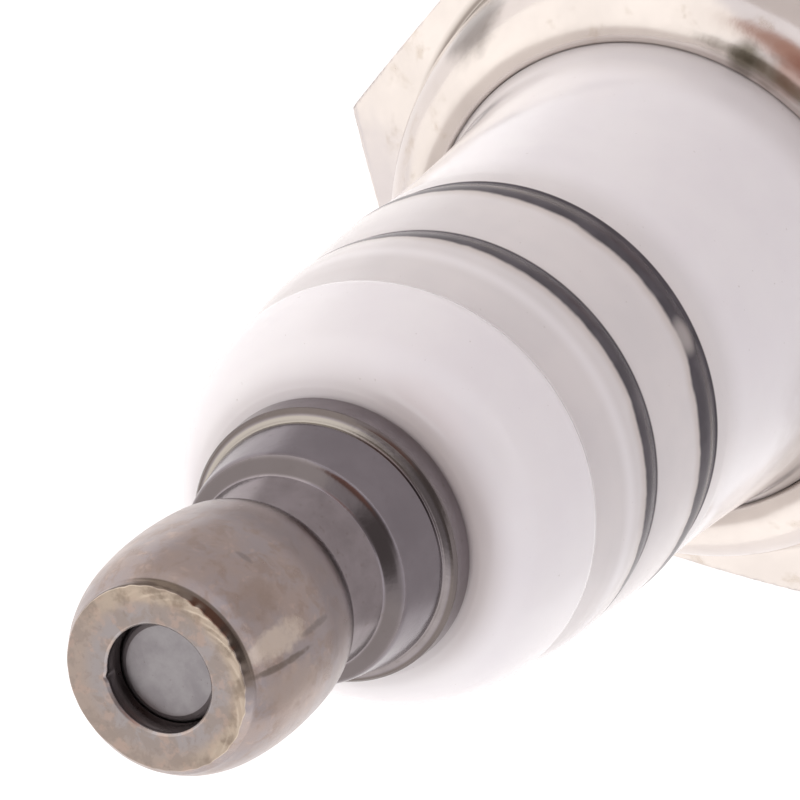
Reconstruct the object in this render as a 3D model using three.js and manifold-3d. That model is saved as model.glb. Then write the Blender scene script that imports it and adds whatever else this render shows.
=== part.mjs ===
// A 14 mm motorcycle spark plug with a removable terminal nut and a captive gasket.
// Millimetres, +Z along the axis towards the terminal. The origin is the centre of the gasket's
// lower face, which is the face that lands on the cylinder head.
import * as THREE from "three";
import { mergeVertices } from "three/addons/utils/BufferGeometryUtils.js";
import Module from "manifold-3d";

const wasm = await Module();
wasm.setup();

// ---- Driving dimensions -------------------------------------------------------------------

const SEGMENTS = 36; // facets round the axis, shared by the turned pieces that nest closely
const SLIM_SEGMENTS = 24; // facets of the stud and the packing rings
const RUNNING_GAP = 0.02; // between two pieces that touch on the real plug

const GASKET_HEIGHT = 2.0;
const GASKET_OUTER_R = 10.1;
const GASKET_SHEET = 0.6;

const SEAT_Z = GASKET_HEIGHT; // the shell's seat face
const REACH = 19; // seat face to the end of the thread
const SHELL_END_Z = SEAT_Z - REACH;
const TERMINAL_HEIGHT = 50.5; // seat face to the top of the terminal nut
const TERMINAL_TOP_Z = SEAT_Z + TERMINAL_HEIGHT;

const PLUG_THREAD = { majorR: 6.98, minorR: 6.23, pitch: 1.25, crest: 0.16, root: 0.2, facets: 24 };
const STUD_THREAD = { majorR: 1.97, minorR: 1.57, pitch: 0.7, crest: 0.14, root: 0.14, facets: 12 };

const HEX_ACROSS_FLATS = 20.8;
const HEX_LOW_Z = 8.4;
const HEX_TOP_Z = 18.4;
const HEX_LOW_CHAMFER_SLOPE = Math.tan(THREE.MathUtils.degToRad(30));
const HEX_TOP_CHAMFER_SLOPE = Math.tan(THREE.MathUtils.degToRad(24));
const FLANGE_R = 10.15;
const FLANGE_TOP_Z = 5.0;
const SHRINK_GROOVE_R = 9.0;
const CRIMP_TOP_Z = 22.1;
const CRIMP_LIP_R = 7.12;
const COLLAR_BORE_R = 8.0; // the shell's bore round the insulator's collar
const BODY_BORE_R = 4.9; // the shell's bore above the inner seat
const SEAT_THROAT_R = 4.1;
const NOSE_BORE_R = 4.55; // the shell's bore round the insulator's nose
const NECK_R = 6.15; // thread relief under the seat, where the gasket turns

const CERAMIC_TOP_Z = TERMINAL_TOP_Z - 10.25;
const CERAMIC_TIP_Z = SHELL_END_Z - 1.9;
const CERAMIC_BORE_R = 2.05;
const CERAMIC_TIP_BORE_R = 1.4;
const BORE_STEP_Z = -1.5;
const HEAD_R = 6.8; // the insulator where it enters the crimp
const COLLAR_R = 7.85;
const COLLAR_TOP_Z = 16.25;
const COLLAR_LOW_Z = 10.2;
const MIDDLE_R = 4.75;
const NOSE_ROOT_R = 3.85;
const NOSE_TIP_R = 2.55;

const ELECTRODE_R = 1.3;
const ELECTRODE_TIP_Z = CERAMIC_TIP_Z - 1.2;
const COPPER_CORE_R = 0.65;
const COPPER_CORE_LOW_Z = -17;
const SPARK_GAP = 0.8;
const GROUND_THICKNESS = 1.2;
const GROUND_WIDTH = 2.6;
const GROUND_OUTER_R = 5.95;

const STUD_END_Z = TERMINAL_TOP_Z - 0.65;
const STUD_TAIL_Z = 11;
const WIRE_R = 0.45; // section radius of the two packing rings

// ---- Geometry helpers ---------------------------------------------------------------------

// Closed, welded copy of a geometry with its zero-area triangles left out.
function welded(geometry) {
  const bare = geometry.index ? geometry.toNonIndexed() : geometry.clone();
  bare.deleteAttribute("normal");
  bare.deleteAttribute("uv");
  const merged = mergeVertices(bare, 1e-4);
  const source = merged.index.array;
  const kept = [];
  for (let i = 0; i < source.length; i += 3) {
    const [a, b, c] = [source[i], source[i + 1], source[i + 2]];
    if (a !== b && b !== c && c !== a) kept.push(a, b, c);
  }
  merged.setIndex(kept);
  return merged;
}

function toSolid(geometry) {
  const closed = welded(geometry);
  return new wasm.Manifold(
    new wasm.Mesh({
      numProp: 3,
      vertProperties: new Float32Array(closed.attributes.position.array),
      triVerts: new Uint32Array(closed.index.array),
    }),
  );
}

function fromSolid(solid) {
  const { vertProperties, triVerts, numProp } = solid.getMesh();
  const count = vertProperties.length / numProp;
  const positions = new Float32Array(count * 3);
  for (let i = 0; i < count; i++) {
    positions.set(vertProperties.subarray(i * numProp, i * numProp + 3), i * 3);
  }
  const geometry = new THREE.BufferGeometry();
  geometry.setAttribute("position", new THREE.BufferAttribute(positions, 3));
  geometry.setIndex(new THREE.BufferAttribute(triVerts, 1));
  return geometry;
}

// Solid of revolution about Z from [r, z] points. An outline that isn't closed on the axis is
// closed by repeating its first point. Points run anticlockwise with r to the right and z up.
function turned(outline, segments = SEGMENTS) {
  const points = outline.map(([r, z]) => new THREE.Vector2(r, z));
  const onAxis = points[0].x === 0 && points.at(-1).x === 0;
  if (!onAxis) points.push(points[0].clone());
  return welded(new THREE.LatheGeometry(points, segments).rotateX(Math.PI / 2));
}

// Points along a smooth curve through [r, z] knots, ends included.
function smooth(knots, divisions) {
  const curve = new THREE.SplineCurve(knots.map(([r, z]) => new THREE.Vector2(r, z)));
  return curve.getPoints(divisions).map((p) => [p.x, p.y]);
}

// Points along a round arc, ends included; angles in degrees from the +r direction.
function arc([r, z], radius, fromDeg, toDeg, divisions) {
  const [from, to] = [fromDeg, toDeg].map(THREE.MathUtils.degToRad);
  const curve = new THREE.EllipseCurve(r, z, radius, radius, from, to, to < from);
  return curve.getPoints(divisions).map((p) => [p.x, p.y]);
}

// Right-hand helical rod with a flat-crested thread, closed by a stepped fan at both ends. Each
// column of vertices climbs one more step of the helix, so that the last column is the first one
// raised by a whole pitch.
function threadedRod({ majorR, minorR, pitch, crest, root, facets }, lowZ, highZ) {
  const flank = (1 - crest - root) / 2;
  const form = [[0, minorR], [root, minorR], [root + flank, majorR], [root + flank + crest, majorR]];
  const perTurn = form.length;
  const rowCount = (Math.ceil((highZ - lowZ) / pitch) + 1) * perTurn;
  const columnLength = rowCount + perTurn + 1;
  const positions = [];
  for (let facet = 0; facet < facets; facet++) {
    const angle = (facet / facets) * 2 * Math.PI;
    for (let row = 0; row < columnLength; row++) {
      const [height, radius] = form[row % perTurn];
      const turn = Math.floor(row / perTurn) - 1 + height + facet / facets;
      positions.push(radius * Math.cos(angle), radius * Math.sin(angle), lowZ + turn * pitch);
    }
  }
  const at = (row, facet) => (facet < facets ? facet * columnLength + row : row + perTurn);
  const index = [];
  for (let row = 0; row < rowCount; row++) {
    for (let facet = 0; facet < facets; facet++) {
      const [a, b] = [at(row, facet), at(row, facet + 1)];
      const [c, d] = [at(row + 1, facet + 1), at(row + 1, facet)];
      index.push(a, b, c, a, c, d);
    }
  }
  for (const row of [0, rowCount]) {
    const loop = Array.from({ length: facets + 1 }, (_, facet) => at(row, facet));
    for (let step = perTurn - 1; step > 0; step--) loop.push(at(row + step, 0));
    const hub = positions.length / 3;
    positions.push(0, 0, positions[loop[0] * 3 + 2] + pitch / 2);
    loop.forEach((vertex, i) => {
      const next = loop[(i + 1) % loop.length];
      index.push(...(row === 0 ? [hub, next, vertex] : [hub, vertex, next]));
    });
  }
  const geometry = new THREE.BufferGeometry();
  geometry.setAttribute("position", new THREE.Float32BufferAttribute(positions, 3));
  geometry.setIndex(index);
  return geometry;
}

// ---- Pieces -------------------------------------------------------------------------------

function terminalNut() {
  const top = TERMINAL_TOP_Z;
  const foot = CERAMIC_TOP_Z + RUNNING_GAP;
  const mouthR = 1.5;
  const boreR = 2.03;
  const lipLowZ = STUD_END_Z + 0.1;
  const barrel = [[2.62, -0.2], [3.05, -1.35], [3.175, -2.95], [3.05, -4.6], [2.42, -5.85]];
  return turned([
    [boreR, foot],
    [3.86, foot],
    [3.8, top - 9.65],
    [3.6, top - 9.35],
    [3.5, top - 9.15],
    [3.22, top - 7.58],
    [2.74, top - 7.32],
    ...smooth(barrel.map(([r, z]) => [r, top + z]), 11).reverse(),
    [2.42, top],
    [mouthR, top],
    [mouthR, lipLowZ],
    [boreR, lipLowZ],
  ]);
}

function terminalStud() {
  const threadLowZ = CERAMIC_TOP_Z + 0.4;
  const envelope = turned([
    [0, threadLowZ - 1],
    [2.2, threadLowZ - 1],
    [2.2, STUD_END_Z - 0.9],
    [1.31, STUD_END_Z],
    [0, STUD_END_Z],
  ], SLIM_SEGMENTS);
  const threaded = toSolid(threadedRod(STUD_THREAD, threadLowZ, STUD_END_Z));
  const shankR = 1.9;
  const tailR = 1.7;
  const knurlR = 1.5;
  const knurls = [0, 1, 2].flatMap((ring) => {
    const z = STUD_TAIL_Z + 0.3 + ring * 0.8;
    return [[tailR, z], [tailR, z + 0.4], [knurlR, z + 0.5], [knurlR, z + 0.7]];
  });
  const shank = turned([
    [0, STUD_TAIL_Z],
    [knurlR, STUD_TAIL_Z],
    ...knurls,
    [shankR, STUD_TAIL_Z + 3],
    [shankR, threadLowZ - 0.3],
    [STUD_THREAD.minorR, threadLowZ],
    [0, threadLowZ],
  ], SLIM_SEGMENTS);
  return fromSolid(threaded.intersect(toSolid(envelope)).add(toSolid(shank)));
}

function insulator() {
  const top = CERAMIC_TOP_Z;
  const dome = [[3.9, 0], [4.85, -0.6], [5.35, -1.4], [5.72, -2.4], [5.86, -3.3], [5.62, -3.85]];
  const firstRib = [[5.62, -3.85], [6.0, -5.0], [6.13, -6.1], [5.98, -7.05]];
  const secondRib = [[5.98, -7.05], [6.2, -7.9], [6.28, -9.6], [6.14, -10.55]];
  const raised = (knots) => knots.map(([r, z]) => [r, top + z]);
  return turned([
    [CERAMIC_TIP_BORE_R, CERAMIC_TIP_Z],
    [NOSE_TIP_R - 0.35, CERAMIC_TIP_Z],
    [NOSE_TIP_R, CERAMIC_TIP_Z + 0.5],
    [NOSE_ROOT_R, -5.8],
    [NOSE_ROOT_R, -5.5],
    [MIDDLE_R, -4.6],
    [MIDDLE_R, COLLAR_LOW_Z - (COLLAR_R - MIDDLE_R)],
    [COLLAR_R, COLLAR_LOW_Z],
    [COLLAR_R, COLLAR_TOP_Z],
    [HEAD_R, COLLAR_TOP_Z + (COLLAR_R - HEAD_R)],
    [HEAD_R, CRIMP_TOP_Z],
    [6.3, top - 14.4],
    [6.22, top - 11.2],
    ...smooth(raised(secondRib), 6).reverse(),
    ...smooth(raised(firstRib), 6).reverse().slice(1),
    ...smooth(raised(dome), 8).reverse().slice(1),
    [CERAMIC_BORE_R, top],
    [CERAMIC_BORE_R, BORE_STEP_Z],
    [CERAMIC_TIP_BORE_R, BORE_STEP_Z],
  ]);
}

function shell() {
  const crimp = [
    [9.3, HEX_TOP_Z + 0.3],
    [9.15, HEX_TOP_Z + 1.5],
    [8.7, CRIMP_TOP_Z - 0.95],
    [8.05, CRIMP_TOP_Z - 0.22],
    [7.45, CRIMP_TOP_Z],
    [CRIMP_LIP_R, CRIMP_TOP_Z - 0.25],
  ];
  const body = turned([
    [0, SEAT_Z - 1],
    [NECK_R, SEAT_Z - 1],
    [NECK_R, SEAT_Z],
    [FLANGE_R - 0.25, SEAT_Z],
    [FLANGE_R, SEAT_Z + 0.25],
    [FLANGE_R, FLANGE_TOP_Z - 0.4],
    [FLANGE_R - 0.4, FLANGE_TOP_Z],
    [SHRINK_GROOVE_R, FLANGE_TOP_Z + 0.2],
    [SHRINK_GROOVE_R + 0.15, (FLANGE_TOP_Z + HEX_LOW_Z) / 2],
    [SHRINK_GROOVE_R, HEX_LOW_Z - 0.2],
    [SHRINK_GROOVE_R, HEX_LOW_Z + 1],
    [9.3, HEX_TOP_Z - 1],
    ...crimp,
    [0, CRIMP_TOP_Z - 0.25],
  ]);

  const cornerR = HEX_ACROSS_FLATS / Math.sqrt(3);
  const lowConeR = 10.1;
  const topConeR = 9.5;
  const outsideR = 12.6; // beyond the corners
  const lowConeRise = (outsideR - lowConeR) * HEX_LOW_CHAMFER_SLOPE;
  const topConeFall = (outsideR - topConeR) * HEX_TOP_CHAMFER_SLOPE;
  const chamferCone = turned([
    [0, HEX_LOW_Z],
    [lowConeR, HEX_LOW_Z],
    [outsideR, HEX_LOW_Z + lowConeRise],
    [outsideR, HEX_TOP_Z - topConeFall],
    [topConeR, HEX_TOP_Z],
    [0, HEX_TOP_Z],
  ]);
  const hexHeight = HEX_TOP_Z - HEX_LOW_Z;
  const prism = new THREE.CylinderGeometry(cornerR, cornerR, hexHeight + 2, 6)
    .rotateX(Math.PI / 2)
    .rotateZ(Math.PI / 2)
    .translate(0, 0, HEX_LOW_Z + hexHeight / 2);
  const hex = toSolid(prism).intersect(toSolid(chamferCone));

  const threadEnvelope = turned([
    [0, SHELL_END_Z],
    [PLUG_THREAD.minorR - 0.1, SHELL_END_Z],
    [7.2, SHELL_END_Z + 1],
    [7.2, SEAT_Z - 2],
    [NECK_R, SEAT_Z - 1.2],
    [NECK_R, SEAT_Z - 0.5],
    [0, SEAT_Z - 0.5],
  ]);
  const thread = toSolid(threadedRod(PLUG_THREAD, SHELL_END_Z, SEAT_Z)).intersect(
    toSolid(threadEnvelope),
  );

  const collarConeLowZ = COLLAR_LOW_Z - 0.6;
  const seatLine = -9.916; // z = r + seatLine on the inner seat's cone
  const bore = turned([
    [0, SHELL_END_Z - 1],
    [NOSE_BORE_R + 0.2, SHELL_END_Z - 1],
    [NOSE_BORE_R + 0.2, SHELL_END_Z],
    [NOSE_BORE_R, SHELL_END_Z + 0.3],
    [NOSE_BORE_R, -8.2],
    [SEAT_THROAT_R, -7.6],
    [SEAT_THROAT_R, SEAT_THROAT_R + seatLine],
    [BODY_BORE_R, BODY_BORE_R + seatLine],
    [BODY_BORE_R, collarConeLowZ - (COLLAR_BORE_R - BODY_BORE_R)],
    [COLLAR_BORE_R, collarConeLowZ],
    [COLLAR_BORE_R, CRIMP_TOP_Z - 1.6],
    [CRIMP_LIP_R, CRIMP_TOP_Z - 0.6],
    [CRIMP_LIP_R, CRIMP_TOP_Z + 1],
    [0, CRIMP_TOP_Z + 1],
  ]);
  return fromSolid(toSolid(body).add(hex).add(thread).subtract(toSolid(bore)));
}

// Folded sheet-steel ring: two layers joined at the outer edge, open on the inner side.
function gasket() {
  const high = GASKET_HEIGHT - RUNNING_GAP;
  const lowerR = 7.25;
  const captiveR = 6.7; // smaller than the thread's crest, so that the ring stays on the plug
  const roundR = high / 2;
  const foldR = roundR - GASKET_SHEET;
  const centre = [GASKET_OUTER_R - roundR, roundR];
  return turned([
    [lowerR, 0],
    ...arc(centre, roundR, -90, 90, 6),
    [captiveR, high],
    [captiveR, high - GASKET_SHEET],
    ...arc(centre, foldR, 90, -90, 4),
    [lowerR, GASKET_SHEET],
  ]);
}

// J-shaped nickel strap, drawn in the XZ plane and given its width along Y.
function groundElectrode() {
  const armTopZ = ELECTRODE_TIP_Z - SPARK_GAP;
  const armLowZ = armTopZ - GROUND_THICKNESS;
  const armEndX = -1.1;
  const innerR = GROUND_OUTER_R - GROUND_THICKNESS;
  const bendR = 1.3;
  const rootZ = SHELL_END_Z - RUNNING_GAP;
  const bendX = innerR - bendR;
  const bendZ = armTopZ + bendR;
  const outline = new THREE.Shape();
  outline.moveTo(armEndX, armTopZ);
  outline.lineTo(armEndX, armLowZ);
  outline.lineTo(bendX, armLowZ);
  outline.absarc(bendX, bendZ, bendR + GROUND_THICKNESS, -Math.PI / 2, 0, false);
  outline.lineTo(GROUND_OUTER_R, rootZ);
  outline.lineTo(innerR, rootZ);
  outline.lineTo(innerR, bendZ);
  outline.absarc(bendX, bendZ, bendR, 0, -Math.PI / 2, true);
  const options = { depth: GROUND_WIDTH, bevelEnabled: false, curveSegments: 6 };
  return new THREE.ExtrudeGeometry(outline, options)
    .translate(0, 0, -GROUND_WIDTH / 2)
    .rotateX(Math.PI / 2);
}

function centreElectrode() {
  const headR = 1.95;
  const headLowZ = BORE_STEP_Z + RUNNING_GAP;
  const headTopZ = BORE_STEP_Z + 1;
  const boreR = COPPER_CORE_R + RUNNING_GAP;
  return turned([
    [0, ELECTRODE_TIP_Z],
    [ELECTRODE_R - 0.1, ELECTRODE_TIP_Z],
    [ELECTRODE_R, ELECTRODE_TIP_Z + 0.1],
    [ELECTRODE_R, headLowZ],
    [headR, headLowZ],
    [headR, headTopZ],
    [boreR, headTopZ],
    [boreR, COPPER_CORE_LOW_Z - RUNNING_GAP],
    [0, COPPER_CORE_LOW_Z - RUNNING_GAP],
  ]);
}

function rod(radius, lowZ, highZ) {
  return turned([[0, lowZ], [radius, lowZ], [radius, highZ], [0, highZ]]);
}

function upperGlassSeal(fillR, lowZ) {
  const pocketR = 1.72;
  const pocketZ = STUD_TAIL_Z - RUNNING_GAP;
  const highZ = STUD_TAIL_Z + 2.6;
  return turned([
    [0, lowZ], [fillR, lowZ], [fillR, highZ], [pocketR, highZ], [pocketR, pocketZ], [0, pocketZ],
  ]);
}

function wireRing(centreZ) {
  const centreR = 7.45;
  return turned(arc([centreR, centreZ], WIRE_R, 0, 360, 8).slice(0, -1), SLIM_SEGMENTS);
}

function talcRing(lowZ, highZ) {
  const innerR = HEAD_R + RUNNING_GAP;
  const outerR = COLLAR_BORE_R - RUNNING_GAP;
  return turned([[innerR, lowZ], [outerR, lowZ], [outerR, highZ], [innerR, highZ]]);
}

// Soft conical washer between the insulator's shoulder and the shell's inner seat.
function seatWasher() {
  const [innerR, outerR] = [4.15, 4.7];
  const upperLine = -9.38; // z = r + line on each face
  const lowerLine = -9.886;
  return turned([
    [innerR, innerR + lowerLine],
    [outerR, outerR + lowerLine],
    [outerR, outerR + upperLine],
    [innerR, innerR + upperLine],
  ]);
}

// ---- Assembly -----------------------------------------------------------------------------

const sparkPlug = new THREE.Group();

function addPart(name, geometry, { color, roughness, metalness }) {
  const material = new THREE.MeshStandardMaterial({ color, roughness, metalness });
  const mesh = new THREE.Mesh(geometry, material);
  mesh.name = name;
  sparkPlug.add(mesh);
}

const nickelPlate = { color: 0xcfc8be, roughness: 0.22, metalness: 1 };
const tarnishedSteel = { color: 0x7c726f, roughness: 0.35, metalness: 1 };
const dullSteel = { color: 0x8b8b8d, roughness: 0.45, metalness: 1 };
const nickelAlloy = { color: 0xa59f95, roughness: 0.4, metalness: 1 };
const copper = { color: 0xb87346, roughness: 0.35, metalness: 1 };
const glaze = { color: 0xeeebee, roughness: 0.08, metalness: 0 };
const sealGlass = { color: 0x4c4440, roughness: 0.5, metalness: 0 };
const carbonGlass = { color: 0x26262a, roughness: 0.7, metalness: 0 };
const talc = { color: 0xd9d5c8, roughness: 0.95, metalness: 0 };

const fillR = CERAMIC_BORE_R - RUNNING_GAP;
const headTopZ = BORE_STEP_Z + 1;
const resistorLowZ = 1.6;
const resistorTopZ = 9.8;
const lowerRingZ = 17.34;
const upperRingZ = 19.97;

addPart("terminal_nut", terminalNut(), tarnishedSteel);
addPart("terminal_stud", terminalStud(), dullSteel);
addPart("insulator", insulator(), glaze);
addPart("upper_glass_seal", upperGlassSeal(fillR, resistorTopZ + RUNNING_GAP), sealGlass);
addPart("resistor", rod(fillR, resistorLowZ, resistorTopZ), carbonGlass);
addPart("lower_glass_seal", rod(fillR, headTopZ + RUNNING_GAP, resistorLowZ - RUNNING_GAP), sealGlass);
addPart("centre_electrode", centreElectrode(), nickelAlloy);
addPart("copper_core", rod(COPPER_CORE_R, COPPER_CORE_LOW_Z, headTopZ), copper);
addPart("shell", shell(), nickelPlate);
addPart("upper_packing_ring", wireRing(upperRingZ), dullSteel);
addPart("talc_ring", talcRing(lowerRingZ + WIRE_R + RUNNING_GAP, upperRingZ - WIRE_R - RUNNING_GAP), talc);
addPart("lower_packing_ring", wireRing(lowerRingZ), dullSteel);
addPart("seat_washer", seatWasher(), copper);
addPart("gasket", gasket(), nickelPlate);
addPart("ground_electrode", groundElectrode(), nickelAlloy);

export default sparkPlug;
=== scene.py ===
"""Studio scene of a 14 mm spark plug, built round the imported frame. Lengths are in millimetres
until a mesh is made, which is in metres."""

import math

import bpy
import numpy as np
from mathutils import Matrix, Vector


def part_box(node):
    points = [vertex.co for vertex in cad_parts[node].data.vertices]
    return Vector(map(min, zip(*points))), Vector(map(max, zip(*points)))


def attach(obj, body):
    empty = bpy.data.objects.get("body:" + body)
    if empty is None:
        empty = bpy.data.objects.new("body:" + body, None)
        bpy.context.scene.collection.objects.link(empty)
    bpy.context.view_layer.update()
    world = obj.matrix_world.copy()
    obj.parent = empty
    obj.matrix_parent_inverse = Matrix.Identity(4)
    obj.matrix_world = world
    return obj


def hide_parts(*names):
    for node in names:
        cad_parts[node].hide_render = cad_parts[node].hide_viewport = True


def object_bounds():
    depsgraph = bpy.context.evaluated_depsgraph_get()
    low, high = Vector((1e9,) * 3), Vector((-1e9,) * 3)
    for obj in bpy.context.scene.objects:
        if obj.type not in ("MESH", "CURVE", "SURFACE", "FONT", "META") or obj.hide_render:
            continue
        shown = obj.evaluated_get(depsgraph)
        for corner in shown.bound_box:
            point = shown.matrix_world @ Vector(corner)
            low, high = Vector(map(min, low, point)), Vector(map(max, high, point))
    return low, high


MM = 0.001
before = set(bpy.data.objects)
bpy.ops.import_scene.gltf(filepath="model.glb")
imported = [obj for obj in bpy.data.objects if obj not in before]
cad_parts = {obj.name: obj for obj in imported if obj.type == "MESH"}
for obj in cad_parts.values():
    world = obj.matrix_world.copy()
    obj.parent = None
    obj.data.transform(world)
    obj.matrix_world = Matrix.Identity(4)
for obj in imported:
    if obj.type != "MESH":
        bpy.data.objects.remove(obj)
cad_low, cad_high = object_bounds()

# ---- Dimensions that come from the frame ----


def height_range(node):
    """Lowest and highest z of a CAD node, in millimetres."""
    low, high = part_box(node)
    return low.z / MM, high.z / MM


def outer_radius(node):
    """How far a CAD node reaches along +Y, in millimetres: a hexagon's apothem, or a radius."""
    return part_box(node)[1].y / MM


NUT_FOOT, NUT_TOP = height_range("terminal_nut")
STUD_TAIL, STUD_END = height_range("terminal_stud")
CERAMIC_TIP, CERAMIC_TOP = height_range("insulator")
SHELL_END, CRIMP_TOP = height_range("shell")
GASKET_HIGH = height_range("gasket")[1]
ELECTRODE_TIP, ELECTRODE_HEAD = height_range("centre_electrode")
ARM_LOW = height_range("ground_electrode")[0]
SEAT = GASKET_HIGH + 0.02  # lower face of the seat flange
GASKET_R = outer_radius("gasket")
HEX_APOTHEM = outer_radius("shell")

# ---- Dimensions that the frame doesn't give ----

HEX_LOW = SEAT + 6.4
HEX_TOP = SEAT + 16.4
HEX_BLANK_R = 13.0  # beyond the corners, before the hexagon is cut to shape
FLANGE_R = 10.15
FLANGE_TOP = SEAT + 3.0
GROOVE_R = 9.02
CRIMP_LIP_R = 7.04
NECK_R = 6.15
THREAD_BLANK_R = 7.25  # beyond the thread's crests, before it is cut to shape
SHELL_FOOT_R = 6.12
SHELL_COLLAR_BORE_R = 8.0  # the shell's bore round the ceramic's collar
SHELL_BODY_BORE_R = 4.9  # between the collar and the inner seat
SHELL_THROAT_R = 4.1
SHELL_NOSE_BORE_R = 4.55  # round the ceramic's nose

CERAMIC_BORE_R = 2.05
CERAMIC_TIP_BORE_R = 1.40
BORE_STEP = -1.5
CERAMIC_BODY_R = 6.80
CERAMIC_COLLAR_R = 7.85
CERAMIC_MIDDLE_R = 4.75
NOSE_ROOT_R = 3.85
BODY_LENGTH = 21.0  # glazed part, from the top down into the crimp

ELECTRODE_R = 1.3
ELECTRODE_HEAD_R = 1.95
ELECTRODE_BORE_R = 0.67
ELECTRODE_BORE_LOW = -17.02
STRAP_THICKNESS = 1.2
STRAP_WIDTH = 2.6
STRAP_OUTER_R = 5.95

STUD_FACE_R = 1.31
STUD_BLANK_R = 2.2  # beyond the thread's crests, before it is cut to shape
STUD_THREAD = {"major": 1.97, "minor": 1.56, "pitch": 0.7, "crest": 0.14, "root": 0.16}
PLUG_THREAD = {"major": 6.98, "minor": 6.21, "pitch": 1.25, "crest": 0.15, "root": 0.16}
NUT_MOUTH_R = 1.47
NUT_BORE_R = 2.03

# ---- Where wear, paint, and painted light and shade lie ----

# Sides of the terminal nut, as azimuths: where the rim is crusted, where the rim's edge stands out
# sharp, where a dark reflection is painted on its chamfer, where painted light brightens the
# foot's ledge, and where the mouth is nicked.
RIM_TARNISH_AZIMUTH = 15
SHARP_RIM_AZIMUTH = 125
RIM_REFLECTION_AZIMUTH = 60
LIT_LEDGE_AZIMUTH = 110
NICK_AZIMUTH = 167

# Marks on the nut's barrel: place (azimuth, radius, height, half width, half height), colour and
# strength. The first three, a pale patch and two narrow dark streaks, are a painted reflection; the
# last three are brown patches.
BARREL_PATCHES_AND_REFLECTIONS = (
    ((0.5, 3.05, 51.25, 0.42, 1.25), (0.64, 0.555, 0.475), 0.75),
    ((-11.0, 3.05, 51.30, 0.10, 1.20), (0.17, 0.14, 0.12), 0.8),
    ((-4.0, 3.15, 49.70, 0.12, 0.70), (0.19, 0.165, 0.155), 0.6),
    ((-24.0, 3.1, 50.9, 0.60, 1.30), (0.47, 0.39, 0.34), 0.5),
    ((22.0, 3.1, 51.2, 0.60, 0.80), (0.30, 0.235, 0.20), 0.5),
    ((41.0, 3.1, 50.4, 0.30, 0.10), (0.20, 0.17, 0.16), 0.5),
)

# Dark spots on the crimp: place (azimuth, radius, height), size, colour and strength. The first
# three are painted dark reflections; the last is a dark patch on the crimp's side next to the hexagon.
CRIMP_SPOTS_AND_REFLECTIONS = (
    ((47.5, 7.54, 22.1), 0.52, (0.15, 0.13, 0.10), 0.95),
    ((41.0, 7.60, 22.1), 0.50, (0.26, 0.20, 0.16), 0.6),
    ((36.5, 7.88, 22.0), 0.60, (0.42, 0.275, 0.225), 0.85),
    ((113.0, 8.85, 20.8), 1.15, (0.24, 0.215, 0.20), 0.95),
)

# Painted rings: depth below the ceramic's top of the near and far edge, and how much further the
# paint creeps towards the terminal on one side. The chip is a worn place in the second ring, as
# azimuth, radius and height.
RING_DEPTHS = ((6.08, 6.97, 0.10), (9.44, 10.58, 0.26))
PAINT_CREEP_AZIMUTH = -60
PAINT_CHIP = (7.0, 6.29, CERAMIC_TOP - 9.72)

# Side on which a brown reflection of the crimp is painted on the glaze above it.
CRIMP_REFLECTION_AZIMUTH = -50

# ---- Camera and studio ----

CAMERA_AIM = (1.64, 0.65, 36.08)
CAMERA_AZIMUTH = 21.58
CAMERA_ELEVATION = 56.33
CAMERA_DISTANCE = 201.03
CAMERA_ROLL = -128.15
CAMERA_LENS = 337.5  # with a sensor 36 mm wide

# Studio walls, and the softer or brighter areas in them: azimuth, elevation, angle to the edge of
# the core and to the edge of the whole, and light.
WALLS = (1.09, 1.06, 1.10, 1.0)
STUDIO = (
    (10, 36, 10, 36, (0.26, 0.235, 0.235)),
    (125, 25, 46, 51, (1.45, 1.40, 1.36)),
    (-115, 15, 40, 66, (1.45, 1.40, 1.37)),
    (-158, 58, 20, 34, (0.92, 0.85, 0.82)),
    (46, 38, 14, 26, (0.50, 0.29, 0.235)),
    (-24, 68, 12, 25, (0.30, 0.275, 0.275)),
    (105, 82, 7, 14, (0.26, 0.22, 0.18)),
)

# ---- Directions ----


def direction(azimuth_deg, elevation_deg):
    """Unit vector towards a light or camera; azimuth 0 is on the -Y side, 90 on +X."""
    azimuth, elevation = math.radians(azimuth_deg), math.radians(elevation_deg)
    level = math.cos(elevation)
    return Vector((math.sin(azimuth) * level, -math.cos(azimuth) * level, math.sin(elevation)))


def azimuth_angle(azimuth_deg):
    """Angle round the axis, from +X, of an azimuth that is counted from -Y towards +X."""
    return math.radians(azimuth_deg - 90)


# ---- Outlines ----


def spline(knots, count):
    """Points along a Catmull-Rom curve through [r, z] knots, ends included."""
    knots = np.array(knots, float)
    padded = np.vstack([2 * knots[0] - knots[1], knots, 2 * knots[-1] - knots[-2]])
    spans = len(knots) - 1
    points = []
    for u in np.linspace(0, spans, count):
        i = min(int(u), spans - 1)
        t = u - i
        a, b, c, d = padded[i : i + 4]
        curve = 2 * b + (c - a) * t + (2 * a - 5 * b + 4 * c - d) * t**2
        points.append(0.5 * (curve + (3 * b - a - 3 * c + d) * t**3))
    return np.array(points)


def arc(centre, radius, start_deg, end_deg, count):
    angles = np.radians(np.linspace(start_deg, end_deg, count))
    return np.array(centre) + radius * np.stack([np.cos(angles), np.sin(angles)], 1)


def rounded(corners, steps=5):
    """Polyline through (r, z, corner radius) points, with each corner rounded off."""
    points = []
    corners = [np.array(c, float) for c in corners]
    for i, corner in enumerate(corners):
        here, radius = corner[:2], corner[2]
        if radius == 0 or i in (0, len(corners) - 1):
            points.append(here)
            continue
        back = corners[i - 1][:2] - here
        ahead = corners[i + 1][:2] - here
        reach = min(np.linalg.norm(back), np.linalg.norm(ahead)) * 0.49
        back, ahead = back / np.linalg.norm(back), ahead / np.linalg.norm(ahead)
        half = math.acos(max(-1.0, min(1.0, float(back @ ahead)))) / 2
        cut = min(radius / math.tan(half), reach)
        start, end = here + back * cut, here + ahead * cut
        for t in np.linspace(0, 1, steps):
            points.append((1 - t) ** 2 * start + 2 * t * (1 - t) * here + t**2 * end)
    return np.array(points)


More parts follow.
